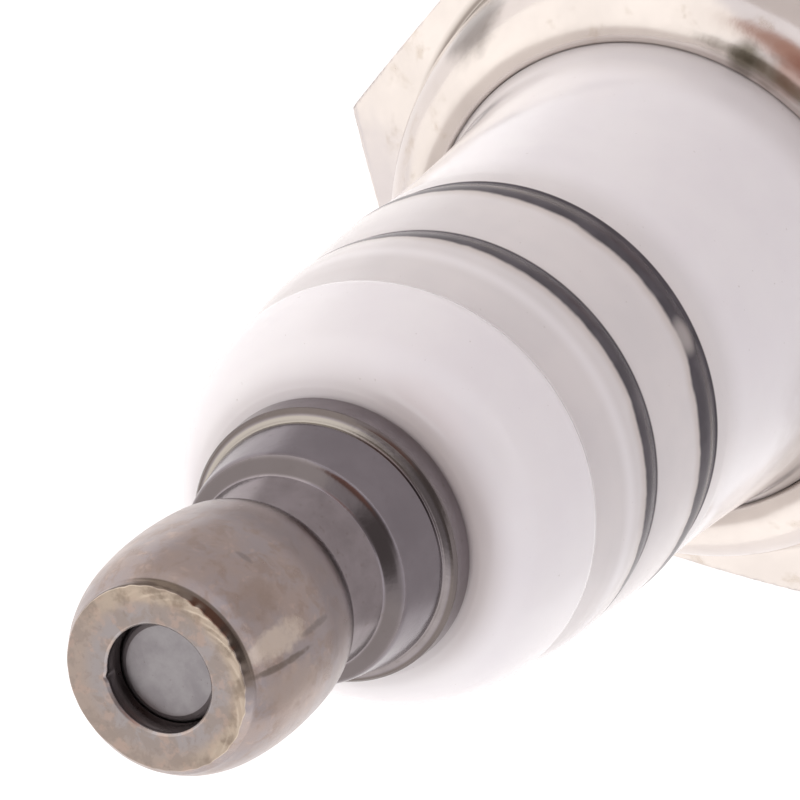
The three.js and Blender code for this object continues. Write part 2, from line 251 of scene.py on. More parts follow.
def densified(points, longest):
    """The same polyline with no span longer than the given length."""
    points = np.array(points, float)
    result = [points[0]]
    for a, b in zip(points[:-1], points[1:]):
        pieces = max(1, math.ceil(np.linalg.norm(b - a) / longest))
        result.extend(a + (b - a) * k / pieces for k in range(1, pieces + 1))
    return np.array(result)


def joined(*stretches):
    """Stretches of outline in one array, without the points that repeat."""
    points = np.vstack([np.atleast_2d(np.array(s, float)) for s in stretches])
    step = np.linalg.norm(np.diff(points, axis=0), axis=1)
    return points[np.concatenate([[True], step > 1e-5])]


# ---- Meshes ----


def add_piece(name, solid, body, slot, material, *replaced):
    """Add a smooth-shaded piece that rides on a body. The solid is its vertices, in millimetres,
    and faces; replaced are the CAD nodes that it stands for."""
    vertices, faces = solid
    mesh = bpy.data.meshes.new(name)
    mesh.from_pydata((np.array(vertices) * MM).tolist(), [], faces)
    mesh.validate()
    mesh.shade_smooth()
    mesh.set_sharp_from_angle(angle=math.radians(35))
    mesh.materials.append(material)
    piece = bpy.data.objects.new(name, mesh)
    bpy.context.scene.collection.objects.link(piece)
    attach(piece, body)
    if replaced:
        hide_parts(*replaced)


def ring_faces(rows, around, closed=False):
    """Quads between rows of points round a piece; closed also joins the last row to the first."""
    faces = []
    for row in range(rows if closed else rows - 1):
        low, high = row * around, (row + 1) % rows * around
        for i in range(around):
            j = (i + 1) % around
            faces.append((low + i, low + j, high + j, high + i))
    return faces


def turned(outline, segments, shape=None):
    """Vertices and faces of a solid of revolution. The outline runs anticlockwise with r to the
    right and z up, either from axis to axis or as a ring that closes on itself. shape(angle, r, z)
    gives the radius and height to use in their place."""
    outline = np.array(outline, float)
    poles = outline[0][0] < 1e-6 and outline[-1][0] < 1e-6
    rows = outline[1:-1] if poles else outline
    angles = np.arange(segments) * 2 * math.pi / segments
    size = (len(rows), segments)
    radius = np.broadcast_to(rows[:, :1], size)
    height = np.broadcast_to(rows[:, 1:], size)
    angle = np.broadcast_to(angles, size)
    if shape:
        radius, height = shape(angle, radius, height)
    grid = np.stack([radius * np.cos(angle), radius * np.sin(angle), height], -1)
    vertices = grid.reshape(-1, 3).tolist()
    faces = ring_faces(len(rows), segments, not poles)
    if poles:
        top = (len(rows) - 1) * segments
        first, last = len(vertices), len(vertices) + 1
        vertices += [(0, 0, outline[0][1]), (0, 0, outline[-1][1])]
        for i in range(segments):
            j = (i + 1) % segments
            faces.append((first, j, i))
            faces.append((last, top + i, top + j))
    return vertices, faces


def soft_min(a, b, width):
    """The smaller of two lengths, blended over a width where they cross."""
    overlap = np.clip(1 - np.abs(a - b) / width, 0, None)
    return np.minimum(a, b) - overlap**2 * width / 4


def waves(angle, orders, amplitude, seed):
    """Smooth irregular ripple round the axis, in millimetres."""
    random = np.random.default_rng(seed)
    total = np.zeros_like(angle)
    for order in orders:
        total += random.normal() * np.cos(order * angle + random.uniform(0, 2 * math.pi))
    return amplitude * total / math.sqrt(len(orders))


def thread_radius(thread, angle, z, start_z=0.0):
    """Radius of a right-hand thread form with flat crests and rounded roots."""
    turn = ((z - start_z) / thread["pitch"] - angle / (2 * math.pi)) % 1.0
    from_crest = np.abs(turn - 0.5) * 2
    flank = 1 - thread["crest"] - thread["root"]
    depth = np.clip((from_crest - thread["crest"]) / flank, 0, 1)
    depth = depth + 0.12 * np.sin(2 * math.pi * depth) / math.pi * (depth > 0.5)
    return thread["major"] - (thread["major"] - thread["minor"]) * depth


def hex_radius(angle, z):
    """Radius of the wrench hexagon, chamfered at both ends, with a corner on +X."""
    corner_blend, edge_blend = 0.10, 0.12
    top_chamfer = (HEX_TOP - z, 9.5, 24)
    low_chamfer = (z - HEX_LOW, 10.1, 30)
    sixth = math.pi / 3
    from_flat = (angle % sixth) - sixth / 2
    flat = HEX_APOTHEM / np.cos(from_flat)
    next_flat = HEX_APOTHEM / np.cos(sixth - np.abs(from_flat))
    radius = soft_min(flat, next_flat, corner_blend)
    for distance, cone_start, slope_deg in (top_chamfer, low_chamfer):
        cone = cone_start + distance / math.tan(math.radians(slope_deg))
        radius = soft_min(radius, cone, edge_blend)
    return radius


# ---- Materials ----


class Graph:
    """Node tree of a material or world, written as calls that return sockets."""

    def __init__(self, owner):
        owner.use_nodes = True
        self.owner = owner
        self.tree = owner.node_tree
        self.tree.nodes.clear()

    def add(self, kind, values=None, **settings):
        node = self.tree.nodes.new(kind)
        for key, value in settings.items():
            setattr(node, key, value)
        for key, value in (values or {}).items():
            if isinstance(value, bpy.types.NodeSocket):
                self.tree.links.new(value, node.inputs[key])
            else:
                node.inputs[key].default_value = value
        return node

    def math(self, operation, a, b=0.0):
        return self.add("ShaderNodeMath", {0: a, 1: b}, operation=operation).outputs[0]

    def plus(self, a, b):
        return self.math("ADD", a, b)

    def minus(self, a, b):
        return self.math("SUBTRACT", a, b)

    def times(self, first, *others):
        """Product of masks, values or numbers, from the left."""
        for other in others:
            first = self.math("MULTIPLY", first, other)
        return first

    def step(self, value, low, high, start=0.0, end=1.0):
        """Smooth step of a value from start at low to end at high."""
        values = {0: value, 1: low, 2: high, 3: start, 4: end}
        node = self.add("ShaderNodeMapRange", values, interpolation_type="SMOOTHSTEP")
        return node.outputs[0]

    def band(self, value, low, high, soft):
        """1 between low and high, fading to 0 over soft on each side."""
        rise = self.step(value, low - soft, low + soft)
        fall = self.step(value, high - soft, high + soft, 1.0, 0.0)
        return self.times(rise, fall)

    def mix(self, factor, a, b):
        """Colour mix of two colours or colour sockets."""
        a, b = [(*c, 1.0) if isinstance(c, tuple) and len(c) == 3 else c for c in (a, b)]
        node = self.add("ShaderNodeMix", {0: factor, 6: a, 7: b}, data_type="RGBA")
        return node.outputs[2]

    def tones(self, pattern, a, b, low=0.3, high=0.7):
        """Colour that turns from a to b as a pattern rises from low to high."""
        return self.mix(self.step(pattern, low, high), a, b)

    def stain_or_painted_light(self, colour, mask, weight, tint):
        """Colour with a tint laid over it where a mask is 1, at most as strong as the weight. It lays
        stains, and painted light and shade too.
        """
        return self.mix(self.times(mask, weight), colour, tint)

    def blend(self, factor, a, b):
        """Value mix of two numbers or value sockets."""
        return self.add("ShaderNodeMix", {0: factor, 2: a, 3: b}, data_type="FLOAT").outputs[0]

    def noise(self, vector, scale, detail=3.0, roughness=0.5, distortion=0.0):
        values = {"Vector": vector, "Scale": scale, "Detail": detail}
        values.update(Roughness=roughness, Distortion=distortion)
        return self.add("ShaderNodeTexNoise", values).outputs[0]

    def centred(self, noise, amount):
        """Noise moved from around a half to around zero, times an amount."""
        return self.times(self.minus(noise, 0.5), amount)

    def millimetres(self, stretch=(1.0, 1.0, 1.0)):
        """Object coordinates in millimetres, stretched along each axis."""
        place = self.add("ShaderNodeTexCoord").outputs["Object"]
        scale = tuple(s / MM for s in stretch)
        node = self.add("ShaderNodeMapping", {"Vector": place, "Scale": scale})
        return node.outputs[0]

    def polar(self, place):
        """(x, y, z, distance from the axis) of a point in millimetres."""
        x, y, z = self.add("ShaderNodeSeparateXYZ", {0: place}).outputs
        square = self.plus(self.math("POWER", x, 2.0), self.math("POWER", y, 2.0))
        return x, y, z, self.math("SQRT", square)

    def along(self, x, y, azimuth_deg):
        """Distance of a point from the axis along a level direction, in millimetres."""
        level = direction(azimuth_deg, 0)
        return self.plus(self.times(x, level.x), self.times(y, level.y))

    def side(self, x, y, r, azimuth_deg):
        """1 where the surface lies on the side of an azimuth, 0 a quarter turn off, -1 behind."""
        return self.math("DIVIDE", self.along(x, y, azimuth_deg), self.math("MAXIMUM", r, 0.1))

    def bump(self, height, distance_mm, strength=1.0, normal=None):
        values = {"Height": height, "Distance": distance_mm * MM, "Strength": strength}
        if normal is not None:
            values["Normal"] = normal
        return self.add("ShaderNodeBump", values).outputs[0]

    def surface(self, **inputs):
        """Principled shader as the output, with _ for spaces in keywords. Returns the material."""
        values = {key.replace("_", " "): value for key, value in inputs.items()}
        for key, value in values.items():
            if isinstance(value, tuple) and len(value) == 3 and "Color" in key:
                values[key] = (*value, 1.0)
        shader = self.add("ShaderNodeBsdfPrincipled", values)
        self.add("ShaderNodeOutputMaterial", {"Surface": shader.outputs[0]})
        return self.owner

    def metal(self, colour, rough, normal):
        return self.surface(Base_Color=colour, Metallic=1.0, Roughness=rough, Normal=normal)


def material_graph(name):
    return Graph(bpy.data.materials.new(name))


def blob(g, place, patch, ragged):
    """1 inside a soft round patch on a barrel, 0 outside it, with a ragged edge."""
    azimuth, radius, height, wide, tall = patch
    level = direction(azimuth, 0)
    x, y, z = place
    across = g.plus(g.times(x, -level.y), g.times(y, level.x))
    in_front = g.step(g.along(x, y, azimuth), 0.2 * radius, 0.5 * radius)
    u = g.math("POWER", g.math("DIVIDE", across, wide), 2.0)
    v = g.math("POWER", g.math("DIVIDE", g.minus(z, height), tall), 2.0)
    distance = g.plus(g.plus(u, v), ragged)
    return g.times(g.step(distance, 0.2, 1.3, 1.0, 0.0), in_front)


def spot(g, place, centre, size, ragged):
    """1 inside a soft ragged ball round a point given as azimuth, radius and height."""
    azimuth, radius, height = centre
    middle = direction(azimuth, 0) * radius
    total = ragged
    for part, at in zip(place, (middle.x, middle.y, height)):
        away = g.math("DIVIDE", g.minus(part, at), size)
        total = g.plus(total, g.math("POWER", away, 2.0))
    return g.step(total, -0.1, 1.8, 1.0, 0.0)


def barrel_colour(g, place, polar, height, forward, clouds, blotches, ragged):
    """Satin taupe with peach patches, brown patches and a painted reflection on the barrel, painted
    shade low on the barrel's forward side, and a painted dark reflection on one side of the rim chamfer.
    """
    x, y, z, r = polar
    barrel = g.tones(clouds, (0.385, 0.315, 0.285), (0.355, 0.315, 0.315), 0.34, 0.66)
    barrel = g.stain_or_painted_light(barrel, g.step(blotches, 0.48, 0.62), 0.7, (0.33, 0.26, 0.225))
    peach = g.step(g.noise(place, 3.1, 4.0, 0.6, 0.5), 0.55, 0.70)
    barrel = g.stain_or_painted_light(barrel, peach, 0.5, (0.49, 0.385, 0.335))
    for patch, tint, weight in BARREL_PATCHES_AND_REFLECTIONS:
        barrel = g.stain_or_painted_light(barrel, blob(g, (x, y, z), patch, ragged), weight, tint)

    # Painted shade: the barrel's lower part, towards the waist, is darkened on the forward side.
    rear = g.times(g.step(height, -3.1, -3.9), g.step(forward, -0.35, 0.55))
    rear = g.times(rear, g.step(height, -5.3, -4.7, 0.35, 1.0))
    barrel = g.stain_or_painted_light(barrel, rear, 0.6, (0.21, 0.18, 0.185))

    # Painted dark reflection: the rim's chamfer is darkened on one side, and narrower away from the
    # front.
    chamfer = g.times(g.step(height, -0.02, -0.045), g.step(height, -0.28, -0.23))
    dark_side = g.side(x, y, r, RIM_REFLECTION_AZIMUTH)
    chamfer = g.times(chamfer, g.step(dark_side, -0.05, 0.5))
    thin_side = g.times(g.step(forward, 0.6, 0.1), g.step(height, -0.08, -0.13))
    chamfer = g.times(chamfer, g.minus(1.0, thin_side))
    return g.stain_or_painted_light(barrel, chamfer, 0.85, (0.10, 0.075, 0.055))


def end_face_colour(g, place, r, forward, blotches, fine, ragged):
    """Cool round the mouth, tan further out and crusted olive at one side of the rim."""
    face = g.tones(r, (0.40, 0.375, 0.38), (0.44, 0.375, 0.335), 1.75, 2.25)
    face = g.stain_or_painted_light(face, g.step(blotches, 0.44, 0.56), 0.7, (0.36, 0.31, 0.28))
    pink = g.step(g.noise(place, 2.7, 4.0, 0.6), 0.50, 0.62)
    face = g.stain_or_painted_light(face, pink, 0.55, (0.52, 0.405, 0.35))
    face = g.stain_or_painted_light(face, g.step(fine, 0.56, 0.70), 0.4, (0.30, 0.26, 0.235))
    uneven = g.plus(r, g.times(ragged, 0.18))
    rim = g.times(g.step(uneven, 1.95, 2.30), g.step(forward, -0.6, 0.3))
    grain = g.noise(place, 1.9, 4.0, 0.6)
    crust = g.tones(grain, (0.57, 0.49, 0.39), (0.31, 0.25, 0.19), 0.42, 0.64)
    return g.stain_or_painted_light(face, rim, 0.7, crust)


def neck_colour(g, polar, height, clouds, fine):
    """Glossy mauve waist and cooler collar with painted shade on the shoulder between them, and a foot
    with painted light on one side of its ledge and a painted dark reflection on its outer edge.
    """
    x, y, _, r = polar
    neck = g.tones(clouds, (0.285, 0.255, 0.268), (0.225, 0.20, 0.208), 0.35, 0.68)
    neck = g.mix(g.step(fine, 0.6, 0.75), neck, (0.20, 0.175, 0.17))
    collar = g.times(g.step(height, -7.55, -7.70), g.step(height, -9.15, -9.05))
    neck = g.stain_or_painted_light(neck, collar, 0.6, (0.185, 0.172, 0.195))

    foot = g.step(height, -9.12, -9.20)
    neck = g.stain_or_painted_light(neck, foot, 0.25, (0.15, 0.135, 0.145))
    # Painted light: the foot's ledge is paler, most on one side.
    lit_side = g.step(g.side(x, y, r, LIT_LEDGE_AZIMUTH), 0.0, 0.8, 0.15, 1.0)
    ledge = g.times(foot, g.step(r, 3.62, 3.68, 1.0, 0.0))
    neck = g.stain_or_painted_light(neck, ledge, g.times(lit_side, 0.85), (0.40, 0.37, 0.33))
    # Painted dark reflection on the rounded top of the foot's outer edge.
    outer_edge = g.times(g.step(r, 3.66, 3.72), g.step(height, -9.48, -9.40))
    neck = g.stain_or_painted_light(neck, g.times(foot, outer_edge), 0.8, (0.125, 0.105, 0.095))
    # Painted shade on the shoulder between the waist and the collar.
    shoulder = g.times(g.step(height, -7.66, -7.50), g.step(height, -7.29, -7.34))
    return g.stain_or_painted_light(neck, shoulder, 0.85, (0.125, 0.108, 0.108))


def terminal_material():
    """Nickel-flashed steel, tarnished on the barrel and the end face. Heights in the graph count
    from the nut's top."""
    g = material_graph("terminal_steel")
    place = g.millimetres()
    polar = g.polar(place)
    x, y, z, r = polar
    height = g.minus(z, NUT_TOP)
    forward = g.side(x, y, r, RIM_TARNISH_AZIMUTH)
    clouds = g.noise(place, 0.7, 4.0, 0.6)
    blotches = g.noise(place, 1.9, 5.0, 0.6, 0.4)
    fine = g.noise(place, 6.0, 4.0, 0.6)
    ragged = g.centred(g.noise(place, 2.4, 5.0, 0.7), 2.6)
    on_barrel = g.step(height, -5.5, -4.6)
    flat_end = g.times(g.step(r, 2.47, 2.42), g.step(height, -0.13, -0.09))
    on_face = g.math("MAXIMUM", flat_end, g.step(height, -0.035, -0.015))
    in_mouth = g.times(g.step(r, 1.60, 1.56), g.step(height, -0.10, -0.14))

    neck = neck_colour(g, polar, height, clouds, fine)
    barrel = barrel_colour(g, place, polar, height, forward, clouds, blotches, ragged)
    face = end_face_colour(g, place, r, forward, blotches, fine, ragged)
    colour = g.mix(on_barrel, neck, barrel)
    colour = g.mix(on_face, colour, face)
    colour = g.mix(in_mouth, colour, (0.25, 0.22, 0.215))

    barrel_rough = g.blend(blotches, 0.18, 0.32)
    rough = g.blend(on_barrel, g.blend(clouds, 0.13, 0.22), barrel_rough)
    rough = g.blend(on_face, rough, 0.36)
    lathe_marks = g.add("ShaderNodeCombineXYZ", {0: g.times(r, 11.0), 1: g.times(z, 11.0)})
    turning = g.noise(lathe_marks.outputs[0], 1.0, 2.0, 0.5)
    normal = g.bump(g.noise(place, 1.3, 3.0, 0.5), 0.03, 0.35)
    normal = g.bump(turning, 0.0012, 0.4, normal)
    normal = g.bump(fine, 0.006, 0.4, normal)
    return g.metal(colour, rough, normal)


def stud_material():
    """Cool grey cut steel with faint saw and handling marks."""
    g = material_graph("plain_steel")
    place = g.millimetres()
    clouds = g.noise(place, 1.3, 4.0, 0.6)
    scratches = g.noise(g.millimetres((1.0, 14.0, 1.0)), 1.2, 3.0, 0.6)
    colour = g.tones(clouds, (0.375, 0.37, 0.388), (0.30, 0.29, 0.31))
    colour = g.mix(g.step(g.noise(place, 7.0, 3.0), 0.66, 0.74), colour, (0.26, 0.24, 0.24))
    rough = g.blend(scratches, 0.28, 0.42)
    normal = g.bump(scratches, 0.003, 0.5, g.bump(clouds, 0.01, 0.5))
    return g.metal(colour, rough, normal)


def paint_masks(g, depth, ragged, creep):
    """Masks of the painted rings and of the thin fringe on their upper edge."""
    shifted = g.plus(depth, ragged)
    paint, fringe = 0.0, 0.0
    for near, far, crept in RING_DEPTHS:
        edge_far = g.step(depth, far - 0.03, far + 0.03, 1.0, 0.0)
        reach = g.plus(shifted, g.times(creep, crept))
        ring = g.times(g.step(reach, near - 0.10, near + 0.08), edge_far)
        paint = g.math("MAXIMUM", paint, ring)
        faded = g.times(g.step(reach, near - 0.45, near), edge_far)
        fringe = g.math("MAXIMUM", fringe, faded)
    return paint, fringe


def glaze_material():
    """White alumina: clear glaze and two painted rings above the shell, bare and matt below."""
    g = material_graph("glazed_alumina")
    place = g.millimetres()
    x, y, z, r = g.polar(place)
    wobble = g.noise(place, 0.8, 3.0, 0.6)
    ragged = g.centred(wobble, 0.28)
    depth = g.minus(CERAMIC_TOP, z)
    creep = g.step(g.along(x, y, PAINT_CREEP_AZIMUTH), 2.7, 3.7)
    paint, fringe = paint_masks(g, depth, ragged, creep)
    chip = spot(g, (x, y, z), PAINT_CHIP, 0.50, ragged)
    paint = g.times(paint, g.blend(chip, 1.0, 0.45))

    clouds = g.noise(place, 0.35, 3.0, 0.55)
    white = g.tones(clouds, (0.845, 0.83, 0.865), (0.875, 0.865, 0.89))
    # Painted shade: the ribbed zone between the dome and the body is greyer.
    ribbed = g.times(g.step(depth, 3.45, 3.95), g.step(depth, 10.6, 12.5, 1.0, 0.0))
    shaded_rib_white = g.tones(clouds, (0.70, 0.68, 0.69), (0.74, 0.715, 0.72), 0.35, 0.65)
    white = g.mix(ribbed, white, shaded_rib_white)
    # Painted highlight: a paler band along the first rib.
    white = g.stain_or_painted_light(white, g.band(depth, 4.95, 5.30, 0.18), 0.55, (0.87, 0.86, 0.885))
    # Painted shade and reflection of the nut on the glaze round its foot, strongest on one side.
    nut_shade = g.times(g.step(r, 4.95, 4.0), g.step(depth, 1.2, 0.6))
    nut_shade_side = g.blend(g.step(g.along(x, y, 0), 0.0, 4.2), 0.15, 0.62)
    white = g.stain_or_painted_light(white, nut_shade, nut_shade_side, (0.42, 0.36, 0.345))
    # Painted shade on the glaze just above the crimp.
    shade_above_crimp = g.step(z, CRIMP_TOP + 1.9, CRIMP_TOP - 0.1)
    white = g.stain_or_painted_light(white, shade_above_crimp, 0.5, (0.45, 0.41, 0.40))

    # Painted reflection of the crimp: a ragged brown band on the glaze above it on one side, where the
    # glaze is also made duller.
    drift = g.centred(g.noise(place, 0.55, 5.0, 0.65), 4.0)
    crimp_reflection = g.step(g.plus(z, drift), CRIMP_TOP + 6.2, CRIMP_TOP + 2.2)
    beside = g.plus(g.along(x, y, CRIMP_REFLECTION_AZIMUTH), g.times(drift, 0.5))
    crimp_reflection = g.times(crimp_reflection, g.step(beside, 4.7, 6.7))
    crimp_reflection = g.times(crimp_reflection, g.blend(wobble, 0.75, 1.0))
    white = g.stain_or_painted_light(white, crimp_reflection, 0.85, (0.34, 0.285, 0.25))
    specks = g.step(g.noise(place, 6.5, 2.0, 0.5), 0.735, 0.79)
    white = g.stain_or_painted_light(white, specks, 0.35, (0.42, 0.38, 0.36))
    white = g.stain_or_painted_light(white, fringe, 0.45, (0.45, 0.38, 0.33))

    ink_clouds = g.noise(place, 1.1, 2.0)
    ink = g.tones(ink_clouds, (0.052, 0.046, 0.058), (0.075, 0.067, 0.082), 0.35)
    bare = g.step(z, SHELL_END + 1.0, SHELL_END + 4.0, 1.0, 0.0)
    tip = g.tones(g.noise(place, 1.4, 4.0), (0.80, 0.77, 0.72), (0.66, 0.60, 0.53))
    colour = g.mix(paint, g.mix(bare, white, tip), ink)

    rough = g.blend(bare, g.blend(paint, 0.10, 0.22), 0.55)
    coat = g.blend(bare, g.blend(paint, 0.30, 0.10), 0.0)
    coat = g.times(coat, g.minus(1.0, crimp_reflection))
    shine = g.times(g.blend(paint, 0.5, 0.15), g.blend(crimp_reflection, 1.0, 0.15))
    orange_peel = g.noise(place, 1.1, 2.0, 0.4)
    normal = g.bump(orange_peel, 0.02, 0.25, g.bump(paint, 0.012, 0.5))
    return g.surface(
        Base_Color=colour,
        Roughness=rough,
        Coat_Weight=coat,
        Coat_Roughness=0.05,
        Specular_IOR_Level=shine,
        Subsurface_Weight=g.blend(paint, 0.25, 0.0),
        Subsurface_Radius=(1.0, 0.95, 0.95),
        Subsurface_Scale=0.6 * MM,
        Normal=normal,
    )


def plate_material():
    """Bright nickel plate over cold-formed steel: cloudy sheen, dings and faint tumbling marks."""
    g = material_graph("nickel_plate")
    place = g.millimetres()
    x, y, z, r = g.polar(place)
    clouds = g.noise(place, 0.28, 4.0, 0.6)
    colour = g.tones(clouds, (0.72, 0.665, 0.63), (0.64, 0.59, 0.56))
    tarnish = g.step(g.noise(place, 0.9, 4.0, 0.6), 0.58, 0.76)
    colour = g.stain_or_painted_light(colour, tarnish, 0.45, (0.50, 0.42, 0.34))
    # Painted shade in the corner where the crimp's foot meets the hexagon's top.
    corner = g.times(g.step(r, 9.75, 9.45), g.step(z, HEX_TOP + 1.7, HEX_TOP + 0.2))
    corner = g.times(corner, g.step(z, HEX_TOP - 0.4, HEX_TOP - 0.1))
    colour = g.stain_or_painted_light(colour, corner, 0.65, (0.24, 0.21, 0.18))
    ragged = g.centred(g.noise(place, 1.6, 4.0, 0.6), 1.2)
    # Dark spots on the crimp, three of them painted dark reflections.
    for centre, radius, tint, weight in CRIMP_SPOTS_AND_REFLECTIONS:
        colour = g.stain_or_painted_light(colour, spot(g, (x, y, z), centre, radius, ragged), weight, tint)
    on_thread = g.step(z, -0.2, 0.6, 1.0, 0.0)
    root = g.step(r, 6.35, 6.9, 1.0, 0.0)
    colour = g.stain_or_painted_light(colour, g.times(on_thread, root), 0.45, (0.24, 0.22, 0.205))
    rough = g.blend(g.noise(place, 1.6, 4.0, 0.6), 0.10, 0.26)
    rough = g.plus(rough, g.times(tarnish, 0.12))
    swells = g.noise(place, 0.5, 2.0, 0.4)
    tumbled = g.noise(place, 5.0, 4.0, 0.65)
    normal = g.bump(tumbled, 0.004, 0.5, g.bump(swells, 0.08, 0.5))
    return g.metal(colour, rough, normal)


def gasket_material():
    """Plated crush ring, softer and duller than the shell, with press marks."""
    g = material_graph("gasket_plate")
    place = g.millimetres()
    clouds = g.noise(place, 0.5, 4.0, 0.6)
    colour = g.tones(clouds, (0.62, 0.60, 0.56), (0.50, 0.475, 0.44))
    rough = g.blend(clouds, 0.24, 0.40)
    normal = g.bump(g.noise(place, 4.0, 4.0, 0.6), 0.01, 0.5)
    return g.metal(colour, rough, normal)


def nickel_alloy_material():
    """Drawn nickel alloy: satin, with faint draw lines and brown heat-tinted patches."""
    g = material_graph("nickel_alloy")
    place = g.millimetres()
    lines = g.noise(g.millimetres((1.0, 16.0, 1.0)), 0.8, 3.0, 0.6)
    clouds = g.noise(place, 0.9, 4.0, 0.6)
    colour = g.tones(clouds, (0.50, 0.475, 0.435), (0.40, 0.37, 0.335))
    colour = g.mix(g.step(g.noise(place, 2.4, 4.0), 0.58, 0.72), colour, (0.33, 0.26, 0.20))
    rough = g.blend(lines, 0.28, 0.45)
    normal = g.bump(lines, 0.006, 0.5, g.bump(clouds, 0.02, 0.4))
    return g.metal(colour, rough, normal)


def weld_material():
    """Resistance weld flash: darker, brown and grey steel."""
    g = material_graph("weld_flash")
    place = g.millimetres()
    clouds = g.noise(place, 1.8, 4.0, 0.6)
    colour = g.tones(clouds, (0.27, 0.24, 0.24), (0.40, 0.33, 0.27))
    normal = g.bump(g.noise(place, 5.0, 3.0), 0.03, 0.6)
    return g.metal(colour, 0.42, normal)


def inner_material(name, light, dark, metallic, roughness, scale, grain_mm):
    """Two-tone grained material for a piece inside the plug."""
    g = material_graph(name)
    place = g.millimetres()
    grain = g.noise(place, scale, 5.0, 0.65)
    colour = g.tones(grain, light, dark, 0.35, 0.65)
    rough = g.blend(grain, roughness - 0.08, roughness + 0.08)
    normal = g.bump(grain, grain_mm, 0.6)
    return g.surface(Base_Color=colour, Metallic=metallic, Roughness=rough, Normal=normal)


# ---- Pieces ----


def nut_outline():
    """Half section of the terminal nut. The knots' heights count from the nut's top."""
    base = NUT_FOOT - NUT_TOP
    foot = [
        (NUT_BORE_R, base, 0), (3.80, base, 0.10), (3.86, -10.06, 0.10), (3.83, -9.42, 0.06),
        (3.76, -9.335, 0.04), (3.68, -9.30, 0.03), (3.56, -9.25, 0.03), (3.49, -9.23, 0.04),
        (3.49, -9.17, 0.04), (3.50, -9.10, 0.05), (3.215, -7.57, 0.35), (2.765, -7.315, 0.02),
        (2.73, -7.27, 0.02), (2.56, -6.70, 0.3), (2.44, -6.20, 0.2), (2.41, -5.98, 0.05),
    ]
    barrel = [
        (2.41, -5.98), (2.44, -5.93), (2.66, -5.66), (2.90, -5.24), (3.06, -4.66), (3.15, -3.80),
        (3.175, -2.95), (3.145, -2.15), (3.05, -1.35), (2.87, -0.70), (2.64, -0.22),
    ]
    rim = [(2.64, -0.22, 0), (2.61, -0.175, 0.02), (2.45, -0.006, 0.03), (2.30, -0.012, 0)]
    face = [
        (2.30, -0.012, 0), (2.12, -0.03, 0.1), (1.95, -0.04, 0.1),
        (NUT_MOUTH_R + 0.06, -0.045, 0.05), (NUT_MOUTH_R, -0.10, 0.03), (NUT_MOUTH_R, -0.16, 0),
    ]
    wall = [(NUT_MOUTH_R, -0.16), (NUT_MOUTH_R, lip_bottom(NUT_MOUTH_R) - NUT_TOP)]
    outline = joined(
        densified(rounded(foot, 6), 0.10),
        spline(barrel, 80),
        densified(rounded(rim, 6), 0.035),
        densified(rounded(face), 0.045),
        densified(wall, 0.025),
        [(NUT_BORE_R, lip_bottom(NUT_BORE_R) - NUT_TOP)],
    )
    outline[:, 1] += NUT_TOP
    return outline


def lip_bottom(radius):
    """Height of the lower side of the nut's lip, which follows the chamfer on the stud, so that no
    dark gap shows in the mouth."""
    chamfer_clearance = 0.015
    return STUD_END - (radius - STUD_FACE_R) + chamfer_clearance


def bell(value, centre, width):
    """1 at a centre, falling off smoothly to nothing over a few widths."""
    return np.exp(-(((value - centre) / width) ** 2))


def build_nut(material):
    """Screw-on terminal with a rolled, tarnished rim and a mouth that shows the stud's end."""
    rim_edge_r = 2.46
    mouth_high, mouth_low = 0.16, NUT_TOP - lip_bottom(NUT_MOUTH_R)

    def shape(angle, r, z):
        """Rolled burr on the end face, thread in the mouth, and slight out-of-round."""
        depth = NUT_TOP - z
        tarnished_side = np.cos(angle - azimuth_angle(RIM_TARNISH_AZIMUTH))
        crusted = 0.25 + 0.75 * np.clip(tarnished_side + 0.4, 0, 1)
        burr = bell(r, rim_edge_r, 0.09) * (depth < 0.2) * crusted
        r = r + burr * waves(angle, range(9, 48), 0.020, 11)
        sharp_side = np.clip(np.cos(angle - azimuth_angle(SHARP_RIM_AZIMUTH)), 0, 1)
        r = r + bell(r, rim_edge_r, 0.09) * (depth < 0.17) * 0.11 * sharp_side

        on_face = bell(r, 2.28, 0.13) * (depth < 0.1) * crusted
        twisted = angle + 1.3 * (r - 2.2)
        sunk = np.clip(waves(twisted, range(9, 44), 0.010, 29), -0.018, 0.014) - 0.014
        z = z + on_face * sunk

        turn = (depth / STUD_THREAD["pitch"] + angle / (2 * math.pi)) % 1.0
        groove = 0.012 * np.cos(np.clip((turn - 0.5) / 0.4, -1, 1) * math.pi / 2) ** 2
        in_mouth = (r < 1.9) & (depth > 0.13) & (depth < 0.9)
        fade = np.clip((depth - mouth_high) / 0.06, 0, 1) * np.clip((mouth_low - depth) / 0.1, 0, 1)
        r = r + in_mouth * groove * fade

        around_nick = (angle - azimuth_angle(NICK_AZIMUTH) + math.pi) % (2 * math.pi) - math.pi
        nick = bell(around_nick, 0, 0.06) * (r < NUT_MOUTH_R + 0.08)
        r = r + nick * 0.05 * np.clip((0.5 - depth) / 0.3, 0, 1)
        outside = (depth > 0.24) & (r > 2.3)
        return r + outside * waves(angle, range(2, 7), 0.006, 5), z

    solid = turned(nut_outline(), 288, shape)
    add_piece("terminal_nut_turned", solid, "terminal_nut", "terminal_steel", material, "terminal_nut")


